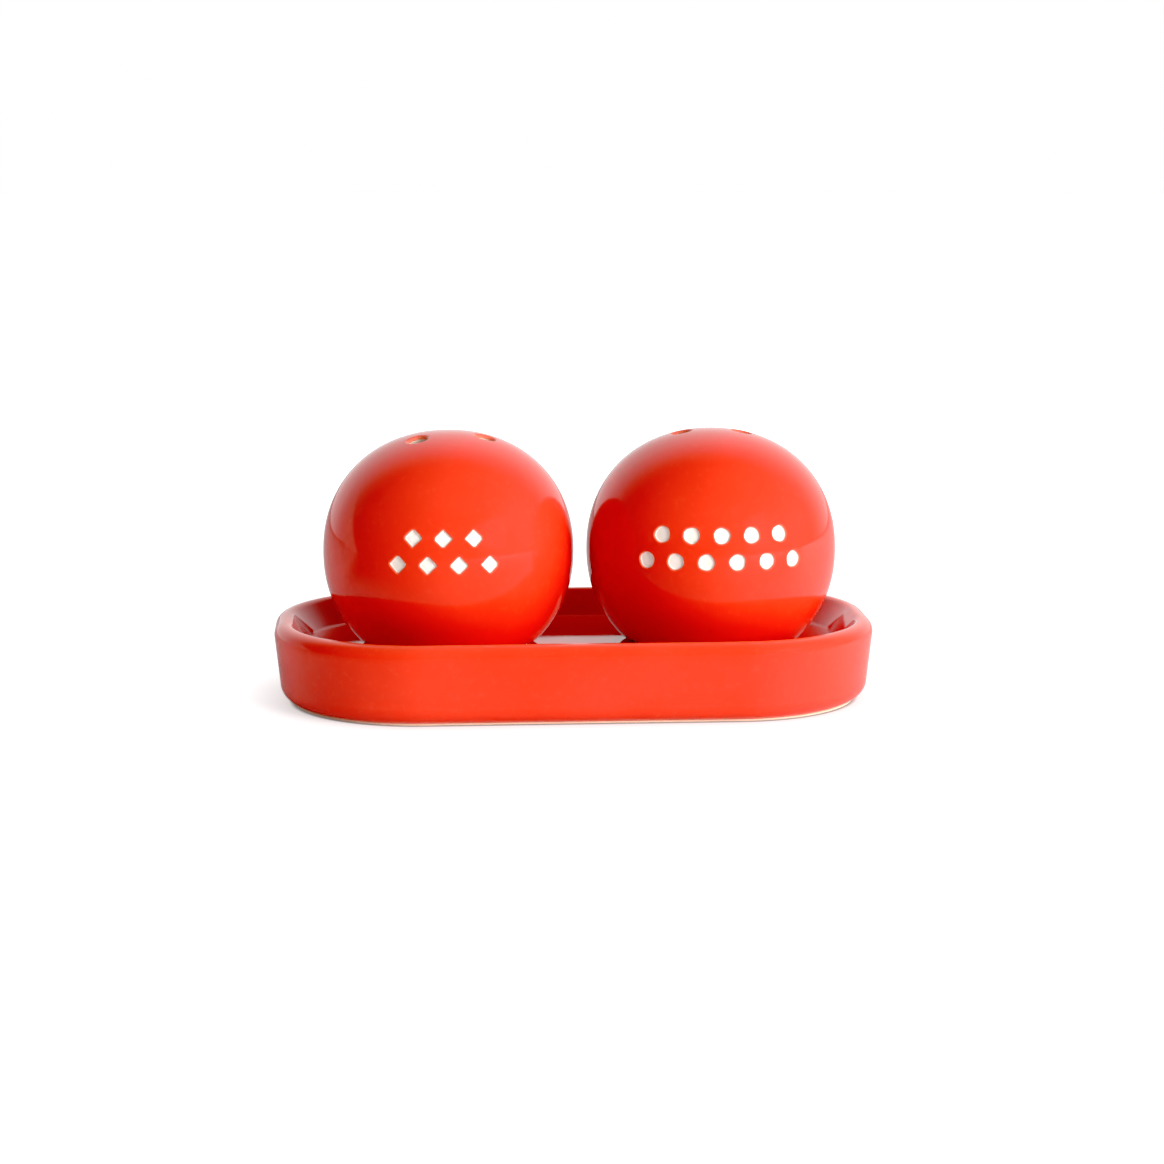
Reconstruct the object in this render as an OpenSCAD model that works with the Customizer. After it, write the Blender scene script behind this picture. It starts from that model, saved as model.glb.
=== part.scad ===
// Salt and pepper set: two hollow ceramic ball shakers, each with a soft stopper in its base,
// standing side by side in a raised ceramic tray with rounded ends.
// Millimetres, +Z up. The origin is the centre of the tray's foot plane, and the fronts face -Y.

/* [Tray] */
// Overall length of the tray
tray_l = 148.2; // [145:0.2:170]
// Overall width of the tray
tray_w = 83; // [82:1:96]
// Height from the foot to the top of the rim
tray_h = 19.8; // [18.6:0.2:24]
// Corner radius of the tray, seen from above
tray_corner_r = 36; // [30:1:38]
// Height of the floor that the shakers stand on
floor_z = 13.25; // [11:0.25:14.5]
// Thickness of the floor
floor_t = 5; // [4:0.5:7]

/* [Shakers] */
// Largest diameter of each ball
ball_d = 62; // [58:1:63]
// Height of each shaker, from its foot to its crown
shaker_h = 52.8; // [50:0.2:56]
// Height of the ball's widest circle above its foot
widest_z = 23; // [21:0.5:25]
// Squareness of the ball's outline: 2 is an ellipse, more is squarer
ball_power = 2.14; // [2:0.02:2.4]
// Thickness of the ceramic wall
wall_t = 3.8; // [3:0.2:5]
// Distance between the two shakers' axes
pair_pitch = 65.3; // [64:0.1:70]
// How far the pair stands off the tray's centre, towards +X
pair_offset = 1.7; // [-3:0.1:3]
// How far the salt shaker is turned about its own axis, in degrees
salt_turn = -3.5; // [-30:0.5:30]
// How far the pepper shaker is turned about its own axis, in degrees
pepper_turn = -1; // [-30:0.5:30]

/* [Pour holes] */
// Diameter of a pour hole
pour_d = 4.8; // [3:0.2:6]
// Number of pour holes in the salt shaker
salt_holes = 3; // [2:1:5]
// Radius of the ring that the salt shaker's pour holes lie on
salt_ring_r = 9.8; // [8:0.2:13]
// Number of pour holes in the pepper shaker
pepper_holes = 2; // [2:1:5]
// Radius of the ring that the pepper shaker's pour holes lie on
pepper_ring_r = 7.5; // [7:0.1:13]

/* [Marks] */
// Depth of the recessed marks
mark_depth = 0.6; // [0.3:0.1:1]
// Width of one crystal mark on the salt shaker, across its flats
crystal_w = 3.2; // [2.4:0.1:3.6]
// Diameter of one peppercorn mark on the pepper shaker
corn_d = 3.9; // [2.5:0.1:4.6]
// Angle between neighbouring marks around the ball, in degrees
mark_step = 14; // [12:0.5:16]
// Distance between the two rows of marks, measured upwards
mark_row_gap = 6.4; // [5:0.2:8]
// Height of the marks' middle above the foot
mark_mid_z = 27.4; // [24:0.2:31]
// Number of crystals in the salt shaker's lower row
salt_marks = 4; // [2:1:5]
// Number of peppercorns in the pepper shaker's lower row
pepper_marks = 6; // [2:1:7]

/* [Base and stopper] */
// Diameter of the fill hole in the base
fill_d = 21; // [16:0.5:24]
// Diameter of the recess that the stopper's flange sits in
recess_d = 31; // [29:0.5:33]
// Depth of that recess
recess_h = 3.2; // [2.5:0.1:4]
// Radial clearance between the stopper's ribs and the fill hole
rib_clearance = 0.05; // [0.02:0.01:0.1]

/* [Hidden] */
$fn = 96;

glaze = [0.93, 0.16, 0.05];
rubber = [0.93, 0.92, 0.88];

// Tray section
wall_draft = 1.3;
foot_h = 0.6;
foot_w = 4;
edge_r = 4.6;
edge_sweep = 72;
rim_r = 3;
rim_inner_r = 2;
inner_slope = 55;
cove_r = 1.5;
under_r = 2;
pocket_draft = 1.5;

// Ball section
half_w = ball_d / 2;
half_h = shaker_h - widest_z;
outline_steps = 44;
base_t = 7;
base_edge = 1;

// Gap between a shaker's foot and the tray floor, so that the solids stay apart
rest_gap = 0.05;
salt_pos = [pair_offset - pair_pitch / 2, 0, floor_z + rest_gap];
pepper_pos = [pair_offset + pair_pitch / 2, 0, floor_z + rest_gap];

// Pour holes: countersunk by the rounded edge of the glaze. Angles are from each shaker's front.
lip_w = 0.7;
salt_hole_angle = -46.5;
pepper_hole_angle = 90;

// Stopper section, measured up from the shaker's foot
flange_d = 27;
flange_z = 0.8;
seat_gap = 0.05;
dish_d = 18;
dish_h = 1.5;
grip_w = 2.2;
plug_d = 20.2;
plug_top_z = 8.8;
cup_d = 16;
cup_z = 4.4;
rib_h = 0.7;
rib_zs = [4.2, 5.9];
lead_in = 0.6;

// Points along an arc, from angle a0 to angle a1
function arc(centre, r, a0, a1, steps) = [
    for (i = [0:steps])
        let (a = a0 + (a1 - a0) * i / steps)
        centre + r * [cos(a), sin(a)]
];

// Radius of the ball at height z above its widest circle
function ball_r(z) = half_w * pow(1 - pow(abs(z) / half_h, ball_power), 1 / ball_power);

// Height above the widest circle at which the upper half has radius r
function crown_z(r) = half_h * pow(1 - pow(r / half_w, ball_power), 1 / ball_power);

// Elevation of the ball's outward normal at height z above its widest circle
function normal_el(z) = atan2(
    sign(z) * pow(abs(z), ball_power - 1) / pow(half_h, ball_power),
    pow(ball_r(z), ball_power - 1) / pow(half_w, ball_power)
);

// Outline of a squared ellipse from height z0 below its widest circle up to its crown
function ball_outline(a, b, z0) =
    let (t0 = -asin(pow(z0 / b, ball_power / 2)))
    [
        for (i = [0:outline_steps])
            let (t = t0 + (90 - t0) * i / outline_steps)
            [
                i == outline_steps ? 0 : a * pow(cos(t), 2 / ball_power),
                widest_z + sign(t) * b * pow(abs(sin(t)), 2 / ball_power)
            ]
    ];

// Cross-section of the tray. X runs outwards from a corner's centre, Y runs up.
module tray_section() {
    wall_x = tray_corner_r - wall_draft;
    edge_z = foot_h + edge_r * sin(edge_sweep);
    foot_x = wall_x - edge_r + edge_r * cos(edge_sweep);
    pocket_x = foot_x - foot_w;
    under_z = floor_z - floor_t;
    crest_x = tray_corner_r - rim_r;
    slope_x = crest_x - rim_inner_r * sin(inner_slope);
    slope_z = tray_h - rim_inner_r * (1 - cos(inner_slope));
    cove_z = floor_z + cove_r * (1 - cos(inner_slope));
    cove_x = slope_x - (slope_z - cove_z) / tan(inner_slope) - cove_r * sin(inner_slope);
    polygon(concat(
        [[0, under_z]],
        arc([pocket_x - pocket_draft - under_r, under_z - under_r], under_r, 90, 0, 4),
        [[pocket_x, 0], [foot_x, 0]],
        arc([wall_x - edge_r, edge_z], edge_r, -edge_sweep, 0, 7),
        arc([crest_x, tray_h - rim_r], rim_r, 0, 90, 8),
        arc([crest_x, tray_h - rim_inner_r], rim_inner_r, 90, 90 + inner_slope, 5),
        arc([cove_x, floor_z + cove_r], cove_r, inner_slope - 90, -90, 4),
        [[0, floor_z]]
    ));
}

// One straight run of the tray's wall and floor, along X, with its outside towards +Y
module tray_run(length) {
    translate([-length / 2, 0, 0])
        rotate([90, 0, 90])
            linear_extrude(length)
                tray_section();
}

module tray() {
    core = [tray_l / 2 - tray_corner_r, tray_w / 2 - tray_corner_r];
    color(glaze) union() {
        for (k = [0:3]) {
            along = 2 * core[k % 2];
            away = core[(k + 1) % 2];
            rotate(90 * k) translate([0, away, 0]) tray_run(along);
            rotate(90 * k) translate([along / 2, away, 0]) rotate_extrude(angle = 90) tray_section();
        }
        translate([-core[0], -core[1], floor_z - floor_t]) cube([2 * core[0], 2 * core[1], floor_t]);
    }
}

// Puts a tool on the ball's surface, with the tool's +Z along the outward normal.
// angle is counted from the front, towards +X; z is counted from the widest circle.
module on_ball(angle, z) {
    rotate(angle)
        translate([0, -ball_r(z), widest_z + z])
            rotate([90 - normal_el(z), 0, 0])
                children();
}

// Hollow ball with a foot ring, a recess for the stopper's flange and a fill hole
module hollow_ball() {
    foot_r = ball_r(widest_z) - base_edge;
    rotate_extrude() difference() {
        polygon(concat([[0, 0], [foot_r, 0]], ball_outline(half_w, half_h, widest_z - base_edge)));
        polygon(concat([[0, base_t]], ball_outline(half_w - wall_t, half_h - wall_t, widest_z - base_t)));
        square([recess_d / 2, recess_h]);
        square([fill_d / 2, base_t]);
    }
}

// Ring of pour holes, drilled along the surface normals
module pour_holes(count, ring_r, angle) {
    for (i = [0:count - 1])
        on_ball(angle + 360 * i / count, crown_z(ring_r)) {
            translate([0, 0, -2 * wall_t]) cylinder(h = 3 * wall_t, d = pour_d);
            translate([0, 0, -lip_w]) cylinder(h = 2 * lip_w, d1 = pour_d, d2 = pour_d + 4 * lip_w);
        }
}

// Two staggered rows of recessed marks, with one mark fewer in the upper row
module mark_rows(count) {
    for (row = [0, 1])
        for (i = [0:count - 1 - row])
            on_ball((i - (count - 1 - row) / 2) * mark_step,
                    mark_mid_z - widest_z + (row - 0.5) * mark_row_gap)
                translate([0, 0, -mark_depth])
                    children();
}

module salt_shaker() {
    color(glaze) translate(salt_pos) rotate(salt_turn) difference() {
        hollow_ball();
        pour_holes(salt_holes, salt_ring_r, salt_hole_angle);
        mark_rows(salt_marks)
            rotate(45)
                translate([-crystal_w / 2, -crystal_w / 2, 0])
                    cube([crystal_w, crystal_w, 2 * mark_depth]);
    }
}

module pepper_shaker() {
    color(glaze) translate(pepper_pos) rotate(pepper_turn) difference() {
        hollow_ball();
        pour_holes(pepper_holes, pepper_ring_r, pepper_hole_angle);
        mark_rows(pepper_marks)
            cylinder(h = 2 * mark_depth, d = corn_d);
    }
}

// Soft plug: a flange with a dish and a grip bar below, and a ribbed hollow cup above
module stopper() {
    seat_z = recess_h - seat_gap;
    rib_r = fill_d / 2 - rib_clearance;
    plug_r = plug_d / 2;
    rotate_extrude() difference() {
        union() {
            translate([0, flange_z]) square([flange_d / 2, seat_z - flange_z]);
            translate([0, seat_z]) square([plug_r, plug_top_z - lead_in - seat_z]);
            polygon([
                [0, plug_top_z - lead_in],
                [plug_r, plug_top_z - lead_in],
                [plug_r - lead_in, plug_top_z],
                [0, plug_top_z]
            ]);
            for (z = rib_zs) translate([0, z]) square([rib_r, rib_h]);
        }
        translate([0, cup_z]) square([cup_d / 2, plug_top_z]);
        translate([0, flange_z]) square([dish_d / 2, dish_h]);
    }
    translate([-dish_d / 2, -grip_w / 2, flange_z]) cube([dish_d, grip_w, dish_h]);
}

module salt_stopper() {
    color(rubber) translate(salt_pos) rotate(salt_turn) stopper();
}

module pepper_stopper() {
    color(rubber) translate(pepper_pos) rotate(pepper_turn) stopper();
}

tray();
salt_shaker();
pepper_shaker();
salt_stopper();
pepper_stopper();
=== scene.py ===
import math

import bmesh
import bpy
import numpy as np
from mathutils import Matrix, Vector
from mathutils.geometry import delaunay_2d_cdt


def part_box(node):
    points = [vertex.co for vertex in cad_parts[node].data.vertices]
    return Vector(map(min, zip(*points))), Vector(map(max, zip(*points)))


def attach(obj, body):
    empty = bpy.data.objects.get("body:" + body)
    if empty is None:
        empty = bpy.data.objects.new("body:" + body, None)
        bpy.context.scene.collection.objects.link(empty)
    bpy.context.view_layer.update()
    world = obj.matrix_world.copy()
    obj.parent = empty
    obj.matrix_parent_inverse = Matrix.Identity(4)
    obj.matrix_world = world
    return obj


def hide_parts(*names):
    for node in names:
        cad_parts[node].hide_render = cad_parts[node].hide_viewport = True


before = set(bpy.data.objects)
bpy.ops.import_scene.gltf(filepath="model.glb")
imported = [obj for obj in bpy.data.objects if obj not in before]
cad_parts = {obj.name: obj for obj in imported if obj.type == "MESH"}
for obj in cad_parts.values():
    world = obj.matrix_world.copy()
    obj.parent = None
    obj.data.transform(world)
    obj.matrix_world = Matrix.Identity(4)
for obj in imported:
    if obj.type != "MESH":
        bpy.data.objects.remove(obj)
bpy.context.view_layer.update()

# Looks of a glazed salt and pepper shaker set. Each piece is one closed mesh that stands for its
# CAD node. A piece's lengths are in millimetres until its mesh is made, then metres. The camera,
# the floor and the lights are placed in metres.
MM = 0.001

# ---------------------------------------------------------------- driving dimensions

# Ball, from its own foot
WIDEST_Z = 23.0
BALL_POWER = 2.14
WALL_T = 3.8
CAVITY_FLOOR_Z = 7.0
RECESS_R = 15.5
RECESS_H = 3.2
FILL_R = 10.5
FOOT_EDGE = 1.0
# Heights at which the smooth side ends above the foot, and the cavity's wall above its floor
SIDE_END_H = 1.6
CAVITY_COVE_H = 1.8
TURN = {"salt": -3.5, "pepper": -1.0}

# Pour holes
POUR_R = 2.4
HOLE_RING = {"salt": (3, 9.8, -46.5), "pepper": (2, 7.5, 90.0)}

# Recessed marks
MARK_STEP = 14.0
MARK_ROW_GAP = 6.4
MARK_MID_Z = 27.4
MARK_COUNT = {"salt": 4, "pepper": 6}
CRYSTAL_W = 3.2
CORN_R = 1.95

# Tray section
CORNER_R = 36.0
WALL_DRAFT = 1.3
TRAY_FOOT_H = 0.6
TRAY_FOOT_W = 4.0
FOOT_BEVEL = 0.25
EDGE_R = 4.6
EDGE_SWEEP = 72.0
RIM_R = 3.0
RIM_INNER_R = 2.0
INNER_SLOPE = 55.0
TRAY_FOOT_X = CORNER_R - WALL_DRAFT - EDGE_R + EDGE_R * math.cos(math.radians(EDGE_SWEEP))
COVE_R = 1.5
FLOOR_Z = 13.25
FLOOR_T = 5.0
UNDER_R = 2.0
POCKET_DRAFT = 1.5

# Stopper, from the shaker's foot
FLANGE_R = 13.5
FLANGE_Z = 0.8
SEAT_Z = 3.15
DISH_R = 9.0
DISH_H = 1.5
GRIP_W = 2.2
GRIP_INSET = 0.02
GRIP_REACH_X = 0.6
GRIP_REACH_Z = 0.4
GRIP_EDGE_R = 0.35
PLUG_R = 10.1
PLUG_TOP_Z = 8.8
RIB_R = 10.45
RIB_H = 0.7
RIB_ZS = (4.2, 5.9)
RIB_FOOT = 0.25
RIB_SLOPE = 0.05
LEAD_IN = 0.6
CUP_R = 8.0
CUP_Z = 4.4

# Mesh density: distances between grid points, and how far they stay from an outline, in steps
BALL_STEP = 1.4
CAVITY_STEP = 3.5
FLOOR_STEP = 4.0
UNDER_STEP = 5.0
GRID_CLEARANCE = 0.45
FILL_CLEARANCE = 0.6
# Points round a ball, a stopper, a pour hole, a dot, and a diamond's corners and sides
AROUND = 160
PLUG_AROUND = 96
HOLE_POINTS = 40
CORN_POINTS = 36
CRYSTAL_POINTS = (7, 3)
# Steps round the tray's corners and along its sides
CORNER_STEPS = 26
LONG_SIDE_STEPS = 38
SHORT_SIDE_STEPS = 6
# Rings down a ball's side and up its cavity, parts of the way through a pour hole, and how far inside
# the tray's flat floor and underside its own rings lie
SIDE_RINGS = 13
CAVITY_RINGS = 6
BORE_SHARES = (0.33, 0.67)
FLAT_INSETS = (1.5, 6.0)
# Steps of a ball's table of lengths, which stops short of its foot, and of the search for a point on it
LENGTH_STEPS = 6000
LENGTH_END = 0.95
DROP_STEPS = 12
# Height of the joint between a ball's crown part and its lower part, from its widest circle
JOIN_Z = -5.5

# Finishes of a point. A face is bare clay when none of its points is glazed.
GLAZED, EDGE, BARE = 0, 1, 2


# ---------------------------------------------------------------- mesh building

class Shell:
    """Points and faces of one mesh.

    Each point knows its finish, how thin its glaze is, and its normal if that is known exactly."""

    def __init__(self):
        self.points, self.finish, self.thin, self.normals, self.faces = [], [], [], [], []

    def add(self, points, finish=GLAZED, thin=0.0, normals=None):
        """Adds points and returns their indices."""
        points = np.asarray(points, float).reshape(-1, 3)
        start = len(self.points)
        count = len(points)
        self.points.extend(points)
        self.finish.extend(np.broadcast_to(finish, count))
        self.thin.extend(np.broadcast_to(thin, count))
        self.normals.extend(np.zeros((count, 3)) if normals is None else normals)
        return np.arange(start, start + count)

    def band(self, ring_a, ring_b):
        """Joins two closed rings of the same length with quads."""
        for i in range(len(ring_a)):
            j = (i + 1) % len(ring_a)
            self.faces.append((ring_a[i], ring_a[j], ring_b[j], ring_b[i]))

    def fill(self, ring, step, height, finish, normal):
        """Closes a flat ring with triangles on a grid of points, step apart."""
        flat = np.array([self.points[i][:2] for i in ring])
        inner = hex_grid(flat, step)
        z = np.full((len(inner), 1), height)
        made = self.add(np.hstack([inner, z]), finish, 0.0, np.tile(normal, (len(inner), 1)))
        indices = np.concatenate([ring, made])
        for tri in triangulate(np.vstack([flat, inner]), [closed_loop(0, len(ring))]):
            self.faces.append(tuple(indices[list(tri)]))

    def make(self, name, materials, axis=(0.0, 0.0), lift=0.0, turn=0.0):
        """Makes the mesh object in metres, turned about its own axis and set in place."""
        a = math.radians(turn)
        spin = np.array([[math.cos(a), -math.sin(a), 0], [math.sin(a), math.cos(a), 0], [0, 0, 1]])
        points = (np.array(self.points) @ spin.T + (axis[0], axis[1], lift)) * MM
        normals = np.array(self.normals) @ spin.T
        mesh = bpy.data.meshes.new(name)
        mesh.from_pydata(points.tolist(), [], [tuple(int(i) for i in f) for f in self.faces])
        for material in materials:
            mesh.materials.append(material)
        finish = np.array(self.finish)
        for poly in mesh.polygons:
            poly.material_index = int(len(materials) > 1 and finish[list(poly.vertices)].min() >= EDGE)
            poly.use_smooth = True
        thin = mesh.attributes.new("glaze_thin", "FLOAT", "POINT")
        thin.data.foreach_set("value", np.array(self.thin, np.float32))
        work = bmesh.new()
        work.from_mesh(mesh)
        bmesh.ops.recalc_face_normals(work, faces=work.faces)
        work.to_mesh(mesh)
        work.free()
        mesh.normals_split_custom_set_from_vertices(normals.tolist())
        mesh.update()
        obj = bpy.data.objects.new(name, mesh)
        bpy.context.scene.collection.objects.link(obj)
        return obj


def closed_loop(start, count):
    """Edges of a closed ring of points."""
    return [(start + i, start + (i + 1) % count) for i in range(count)]


def triangulate(flat, loops):
    """Triangles of a flat set of points that keep every edge of the given loops."""
    edges = [edge for loop in loops for edge in loop]
    result = delaunay_2d_cdt([Vector(p) for p in flat], edges, [], 0, 1e-6)
    source = [o[0] for o in result[3]]
    return [tuple(source[i] for i in face) for face in result[2]]


def hex_grid(outline, step):
    """Points of a triangular grid inside a convex outline, kept a little clear of it."""
    lo, hi = outline.min(0), outline.max(0)
    rows = np.arange(lo[1], hi[1], step * math.sqrt(0.75))
    points = np.array([
        (x, y)
        for k, y in enumerate(rows)
        for x in np.arange(lo[0] + (k % 2) * step / 2, hi[0], step)
    ])
    keep = np.ones(len(points), bool)
    for a, b in zip(outline, np.roll(outline, -1, axis=0)):
        along = (b - a) / np.linalg.norm(b - a)
        side = (points - a) @ np.array([-along[1], along[0]])
        keep &= side > FILL_CLEARANCE * step
    return points[keep]


def unit(v):
    return v / np.linalg.norm(v, axis=-1, keepdims=True)


def arc(cx, cz, r, start, end, steps):
    """Points of a section's rounding as (x, z, normal x, normal z), with normals away from the centre."""
    angles = np.radians(np.linspace(start, end, steps + 1))
    c, s = np.cos(angles), np.sin(angles)
    return [(cx + r * u, cz + r * v, u, v) for u, v in zip(c, s)]


def hollow_arc(cx, cz, r, start, end, steps):
    """The same for a rounding seen from its hollow side, with normals towards the centre."""
    return [(x, z, -u, -v) for x, z, u, v in arc(cx, cz, r, start, end, steps)]


def line(start, end, steps):
    """Inner points of a straight run of a section, without its ends, with the run's own normal."""
    (x0, z0), (x1, z1) = start, end
    length = math.hypot(x1 - x0, z1 - z0)
    normal = ((z1 - z0) / length, -(x1 - x0) / length)
    return [(x0 + (x1 - x0) * k / steps, z0 + (z1 - z0) * k / steps, *normal) for k in range(1, steps)]


# ---------------------------------------------------------------- the ball's surface

class BallSurface:
    """A squared ellipse turned about Z, with height 0 at its widest circle."""

    def __init__(self, half_w, half_h):
        self.a, self.b, self.n = half_w, half_h, BALL_POWER
        t = np.linspace(math.pi / 2, -math.pi / 2 * LENGTH_END, LENGTH_STEPS)
        r = self.a * np.abs(np.cos(t)) ** (2 / self.n)
        z = self.b * np.sign(t) * np.abs(np.sin(t)) ** (2 / self.n)
        self.t = t
        self.arc_length = np.concatenate([[0], np.cumsum(np.hypot(np.diff(r), np.diff(z)))])

    def radius(self, z):
        return self.a * (1 - (abs(z) / self.b) ** self.n) ** (1 / self.n)

    def height(self, r):
        return self.b * (1 - (r / self.a) ** self.n) ** (1 / self.n)

    def from_arc(self, length):
        """(r, z) at a distance from the crown, measured along the surface."""
        t = np.interp(length, self.arc_length, self.t)
        r = self.a * np.abs(np.cos(t)) ** (2 / self.n)
        return r, self.b * np.sign(t) * np.abs(np.sin(t)) ** (2 / self.n)

    def to_arc(self, points):
        """Distance of each point from the crown, measured along the surface."""
        r = np.hypot(points[:, 0], points[:, 1])
        up = np.sign(points[:, 2]) * (np.abs(points[:, 2]) / self.b) ** (self.n / 2)
        t = np.arctan2(up, (r / self.a) ** (self.n / 2))
        return np.interp(-t, -self.t, self.arc_length)

    def chart(self, points):
        """The surface unrolled flat around its crown."""
        length = self.to_arc(points)
        r = np.maximum(np.hypot(points[:, 0], points[:, 1]), 1e-9)
        return points[:, :2] / r[:, None] * length[:, None]

    def normal(self, points):
        r = np.maximum(np.hypot(points[:, 0], points[:, 1]), 1e-9)
        out = r ** (self.n - 1) / self.a ** self.n
        up = np.sign(points[:, 2]) * np.abs(points[:, 2]) ** (self.n - 1) / self.b ** self.n
        return unit(np.column_stack([points[:, 0] / r * out, points[:, 1] / r * out, up]))

    def drop_on(self, points, axis):
        """Slides points along axis until they lie on the surface."""
        def gap(q):
            r = np.hypot(q[:, 0], q[:, 1])
            return (r / self.a) ** self.n + (np.abs(q[:, 2]) / self.b) ** self.n - 1

        moved = points.copy()
        nudge = 1e-4
        for _ in range(DROP_STEPS):
            here = gap(moved)
            slope = (gap(moved + nudge * axis) - here) / nudge
            moved -= (here / slope)[:, None] * axis
        return moved

    def place(self, angle, z):
        """Centre, outward normal, and the sideways and upward directions at an angle from the front."""
        a = math.radians(angle)
        r = self.radius(z)
        centre = np.array([r * math.sin(a), -r * math.cos(a), z])
        normal = self.normal(centre[None])[0]
        side = np.array([math.cos(a), math.sin(a), 0.0])
        return centre, normal, side, np.cross(normal, side)


class Feature:
    """A round-edged outline on the ball: a core outline, with a radius added all round it."""

    def __init__(self, place, core, spread, radius, wobble, phase):
        self.centre, self.normal, self.side, self.up = place
        self.core, self.spread, self.radius = np.array(core), np.array(spread), radius
        heading = np.arctan2(self.spread[:, 1], self.spread[:, 0])
        self.wobble = wobble * (np.sin(3 * heading + phase) + 0.6 * np.sin(5 * heading + 2.3 * phase))

    def ring(self, surface, offset):
        """The outline grown by offset, on the surface, with the uneven edge left by the glaze."""
        grown = self.core + (self.radius + offset + self.wobble)[:, None] * self.spread
        flat = self.centre + grown[:, :1] * self.side + grown[:, 1:] * self.up
        return surface.drop_on(flat, self.normal)

    def reach(self):
        return np.linalg.norm(self.core, axis=1).max() + self.radius


def round_outline(points):
    """Core and spread of a circle."""
    headings = np.linspace(0, 2 * math.pi, points, endpoint=False)
    return np.zeros((points, 2)), np.column_stack([np.cos(headings), np.sin(headings)])


def diamond_outline(half_diagonal, per_corner, per_side):
    """Core and spread of a square that stands on its corner."""
    core, spread = [], []
    for k in range(4):
        here = math.radians(90 * k)
        corner = half_diagonal * np.array([math.cos(here), math.sin(here)])
        after = half_diagonal * np.array([-math.sin(here), math.cos(here)])
        for h in np.linspace(here - math.pi / 4, here + math.pi / 4, per_corner):
            core.append(corner)
            spread.append((math.cos(h), math.sin(h)))
        for j in range(1, per_side + 1):
            core.append(corner + (after - corner) * j / (per_side + 1))
            spread.append((math.cos(here + math.pi / 4), math.sin(here + math.pi / 4)))
    return core, spread


# Each ring of a mark or a pour hole: (offset outwards, depth, finish, thinness of the glaze)
MARK_RINGS = (
    (0.55, 0.00, GLAZED, 0.0),
    (0.34, -0.03, GLAZED, 0.1),
    (0.17, 0.00, GLAZED, 0.3),
    (0.06, 0.10, GLAZED, 0.7),
    (0.00, 0.22, GLAZED, 0.9),
    (-0.03, 0.35, EDGE, 1.0),
    (-0.10, 0.50, BARE, 0.0),
    (-0.24, 0.60, BARE, 0.0),
    (-0.42, 0.60, BARE, 0.0),
)
HOLE_RINGS = (
    (1.00, 0.00, GLAZED, 0.0),
    (0.75, -0.03, GLAZED, 0.0),
    (0.50, 0.03, GLAZED, 0.2),
    (0.28, 0.15, GLAZED, 0.5),
    (0.12, 0.36, GLAZED, 0.8),
    (0.03, 0.62, GLAZED, 1.0),
    (0.00, 0.90, EDGE, 1.0),
)
MARK_WOBBLE = 0.05
HOLE_WOBBLE = 0.05
MARK_CORNER_R = 0.55


def ball_features(kind, surface):
    """The marks and the pour holes of one shaker."""
    rows = []
    count = MARK_COUNT[kind]
    for row in (0, 1):
        in_row = count - row
        z = MARK_MID_Z - WIDEST_Z + (row - 0.5) * MARK_ROW_GAP
        rows += [((i - (in_row - 1) / 2) * MARK_STEP, z) for i in range(in_row)]
    marks = []
    for k, (angle, z) in enumerate(rows):
        if kind == "salt":
            inner = (CRYSTAL_W / 2 - MARK_CORNER_R) * math.sqrt(2)
            outline, radius = diamond_outline(inner, *CRYSTAL_POINTS), MARK_CORNER_R
        else:
            outline, radius = round_outline(CORN_POINTS), CORN_R
        marks.append(Feature(surface.place(angle, z), *outline, radius, MARK_WOBBLE, 1.7 * k))
    holes = []
    number, ring_r, first = HOLE_RING[kind]
    for k in range(number):
        place = surface.place(first + 360 * k / number, surface.height(ring_r))
        holes.append(Feature(place, *round_outline(HOLE_POINTS), POUR_R, HOLE_WOBBLE, 0.9 + 2.1 * k))
    return marks, holes


def polar_rings(surface, step, limit):
    """Points on the surface in rings about the crown, step apart, out to arc length limit."""
    points = [np.array([[0.0, 0.0, surface.b]])]
    rings = max(1, round(limit / step))
    for k in range(1, rings):
        r, z = surface.from_arc(limit * k / rings)
        count = max(6, round(2 * math.pi * r / step))
        a = (np.arange(count) + 0.5 * (k % 2)) * 2 * math.pi / count
        points.append(np.column_stack([r * np.cos(a), r * np.sin(a), np.full(count, z)]))
    return np.vstack(points)


def level_ring(r, z, count=AROUND):
    a = np.arange(count) * 2 * math.pi / count
    return np.column_stack([r * np.cos(a), r * np.sin(a), np.full(count, z)])


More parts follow.
